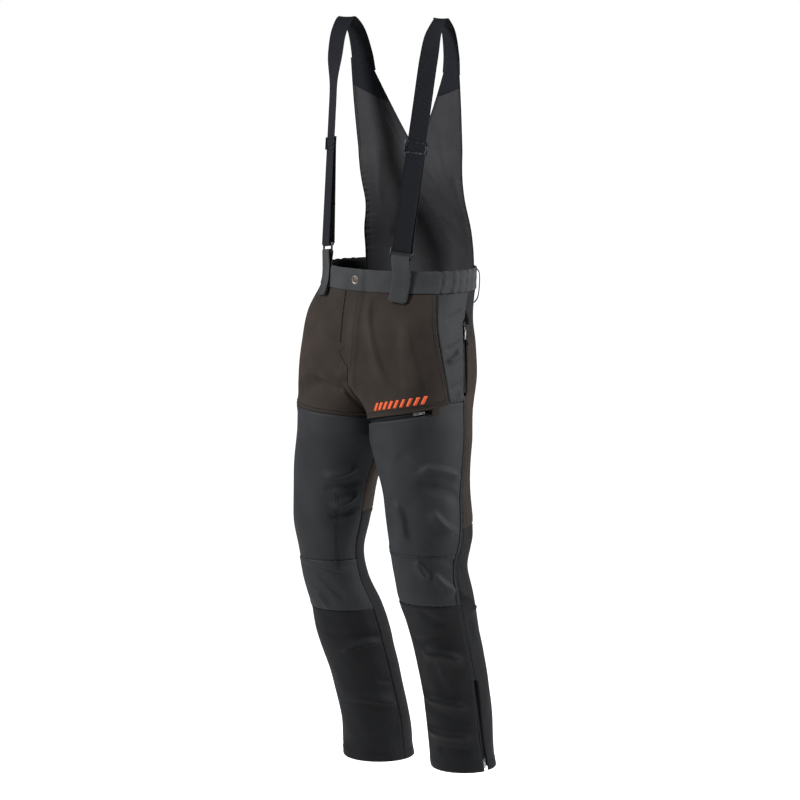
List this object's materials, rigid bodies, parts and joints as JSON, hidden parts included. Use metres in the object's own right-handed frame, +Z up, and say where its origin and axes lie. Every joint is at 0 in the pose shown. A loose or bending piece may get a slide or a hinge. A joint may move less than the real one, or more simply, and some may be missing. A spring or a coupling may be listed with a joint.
{
  "type": "high-back protective trousers with braces",
  "caption": "High-back protective trousers with elastic braces, padded leg fronts, side and pocket zips, shaped as if worn.",
  "frame": {"origin": "centre of the waist opening, level with the top edge of the waistband", "axes": "+Z up along the wearer, front towards -Y, +X towards the wearer's left"},
  "size_m": [0.4542, 0.3049, 1.6031],
  "materials": {
    "softshell": "matt brushed softshell, brown",
    "dark_nylon": "coated plain weave, dark grey",
    "black_nylon": "coated plain weave, near black",
    "bib_nylon": "thin plain weave with soft folds, dark grey",
    "band_cloth": "smooth dense cloth, grey",
    "elastic_webbing": "ribbed elastic webbing, navy black",
    "zip_tape": "woven tape, navy black",
    "pad_fibre": "layered loose knit, off white",
    "mesh_lining": "open knit, black",
    "dark_metal": "satin gunmetal",
    "zip_pull": "satin, worn at the edges",
    "antique_metal": "antique, darkened"
  },
  "bodies": {
    "trousers": {"front_panel_left": "softshell", "hip_panel_left": "dark_nylon", "side_strip_left": "softshell", "back_panel_left": "black_nylon", "thigh_front_left": "dark_nylon", "knee_panel_left": "dark_nylon", "shin_front_left": "black_nylon", "gusset_left": "softshell", "back_leg_left": "black_nylon", "cut_pad_left": "pad_fibre", "hand_pocket_bag_left": "mesh_lining", "lining_left": "mesh_lining", "brace_webbing_left": "elastic_webbing", "brace_return_left": "elastic_webbing", "front_tab_left": "band_cloth", "belt_loop_left": "elastic_webbing", "hand_pocket_zip_left_tape": "zip_tape", "leg_zip_left_tape": "zip_tape", "front_panel_right": "softshell", "hip_panel_right": "dark_nylon", "side_strip_right": "softshell", "back_panel_right": "black_nylon", "thigh_front_right": "dark_nylon", "knee_panel_right": "dark_nylon", "shin_front_right": "black_nylon", "gusset_right": "softshell", "back_leg_right": "black_nylon", "cut_pad_right": "pad_fibre", "hand_pocket_bag_right": "mesh_lining", "lining_right": "mesh_lining", "brace_webbing_right": "elastic_webbing", "brace_return_right": "elastic_webbing", "front_tab_right": "band_cloth", "belt_loop_right": "elastic_webbing", "hand_pocket_zip_right_tape": "zip_tape", "leg_zip_right_tape": "zip_tape", "thigh_pocket_zip_tape": "zip_tape", "fly_zip_tape": "zip_tape", "thigh_pocket_bag": "mesh_lining", "waistband": "band_cloth", "stud_cap": "antique_metal", "stud_base": "antique_metal", "fly_guard": "black_nylon", "bib_back": "bib_nylon"},
    "hand_pocket_zip_left_slider": {"hand_pocket_zip_left_slider": "dark_metal"},
    "hand_pocket_zip_left_pull": {"hand_pocket_zip_left_pull": "zip_pull"},
    "hand_pocket_zip_right_slider": {"hand_pocket_zip_right_slider": "dark_metal"},
    "hand_pocket_zip_right_pull": {"hand_pocket_zip_right_pull": "zip_pull"},
    "leg_zip_left_slider": {"leg_zip_left_slider": "dark_metal"},
    "leg_zip_left_pull": {"leg_zip_left_pull": "zip_pull"},
    "leg_zip_right_slider": {"leg_zip_right_slider": "dark_metal"},
    "leg_zip_right_pull": {"leg_zip_right_pull": "zip_pull"},
    "thigh_pocket_zip_slider": {"thigh_pocket_zip_slider": "dark_metal"},
    "thigh_pocket_zip_pull": {"thigh_pocket_zip_pull": "zip_pull"},
    "fly_zip_slider": {"fly_zip_slider": "dark_metal"},
    "fly_zip_pull": {"fly_zip_pull": "zip_pull"},
    "adjuster_left": {"adjuster_left": "dark_metal"},
    "ring_left": {"ring_left": "dark_metal"},
    "adjuster_right": {"adjuster_right": "dark_metal"},
    "ring_right": {"ring_right": "dark_metal"}
  },
  "joints": [
    {"name": "hand_pocket_zip_left_slider_slide", "type": "slide", "parent": "trousers", "child": "hand_pocket_zip_left_slider", "axis": [0.1075, -0.1017, -0.989], "range_m": [0, 0.125]},
    {"name": "hand_pocket_zip_left_pull_hinge", "type": "hinge", "parent": "hand_pocket_zip_left_slider", "child": "hand_pocket_zip_left_pull", "pos_m": [0.18999, -0.00658, -0.11652], "axis": [0.1812, -0.9761, 0.1201], "range_deg": [0, 165]},
    {"name": "hand_pocket_zip_right_slider_slide", "type": "slide", "parent": "trousers", "child": "hand_pocket_zip_right_slider", "axis": [-0.1075, -0.1017, -0.989], "range_m": [0, 0.125]},
    {"name": "hand_pocket_zip_right_pull_hinge", "type": "hinge", "parent": "hand_pocket_zip_right_slider", "child": "hand_pocket_zip_right_pull", "pos_m": [-0.18999, -0.00658, -0.11652], "axis": [0.1812, 0.9761, -0.1201], "range_deg": [0, 165]},
    {"name": "leg_zip_left_slider_slide", "type": "slide", "parent": "trousers", "child": "leg_zip_left_slider", "axis": [-0.0622, 0.2444, -0.9677], "range_m": [-0.168, 0.008]},
    {"name": "leg_zip_left_pull_hinge", "type": "hinge", "parent": "leg_zip_left_slider", "child": "leg_zip_left_pull", "pos_m": [0.19096, 0.05536, -1.04189], "axis": [-0.2247, -0.9481, -0.225], "range_deg": [0, 165]},
    {"name": "leg_zip_right_slider_slide", "type": "slide", "parent": "trousers", "child": "leg_zip_right_slider", "axis": [0.0387, 0.2384, -0.9704], "range_m": [-0.186, 0.01]},
    {"name": "leg_zip_right_pull_hinge", "type": "hinge", "parent": "leg_zip_right_slider", "child": "leg_zip_right_pull", "pos_m": [-0.19824, 0.05795, -1.06006], "axis": [-0.2149, 0.9504, 0.2249], "range_deg": [0, 165]},
    {"name": "thigh_pocket_zip_slider_slide", "type": "hinge", "parent": "trousers", "child": "thigh_pocket_zip_slider", "pos_m": [0.10583, -0.04653, -0.3014], "axis": [-0.2055, 0.03, 0.9782], "range_deg": [-88, 6]},
    {"name": "thigh_pocket_zip_pull_hinge", "type": "hinge", "parent": "thigh_pocket_zip_slider", "child": "thigh_pocket_zip_pull", "pos_m": [0.16896, -0.13493, -0.28542], "axis": [0.2055, -0.03, -0.9782], "range_deg": [0, 165]},
    {"name": "fly_zip_slider_slide", "type": "slide", "parent": "trousers", "child": "fly_zip_slider", "axis": [0, -0.1406, -0.9901], "range_m": [0, 0.138]},
    {"name": "fly_zip_pull_hinge", "type": "hinge", "parent": "fly_zip_slider", "child": "fly_zip_pull", "pos_m": [0, -0.12695, -0.0672], "axis": [-1, 0, 0], "range_deg": [0, 12]},
    {"name": "adjuster_left_slide", "type": "slide", "parent": "trousers", "child": "adjuster_left", "axis": [0.063, 0.1411, 0.988], "range_m": [-0.12, 0.07], "deforming": ["brace_return_left"]},
    {"name": "ring_left_hinge", "type": "hinge", "parent": "trousers", "child": "ring_left", "pos_m": [0.10465, -0.10986, 0.02769], "axis": [0.9028, 0.414, -0.1167], "range_deg": [-6, 6]},
    {"name": "adjuster_right_slide", "type": "slide", "parent": "trousers", "child": "adjuster_right", "axis": [-0.063, 0.1411, 0.988], "range_m": [-0.12, 0.07], "deforming": ["brace_return_right"]},
    {"name": "ring_right_hinge", "type": "hinge", "parent": "trousers", "child": "ring_right", "pos_m": [-0.10465, -0.10986, 0.02769], "axis": [0.9028, -0.414, 0.1167], "range_deg": [-6, 6]}
  ]
}
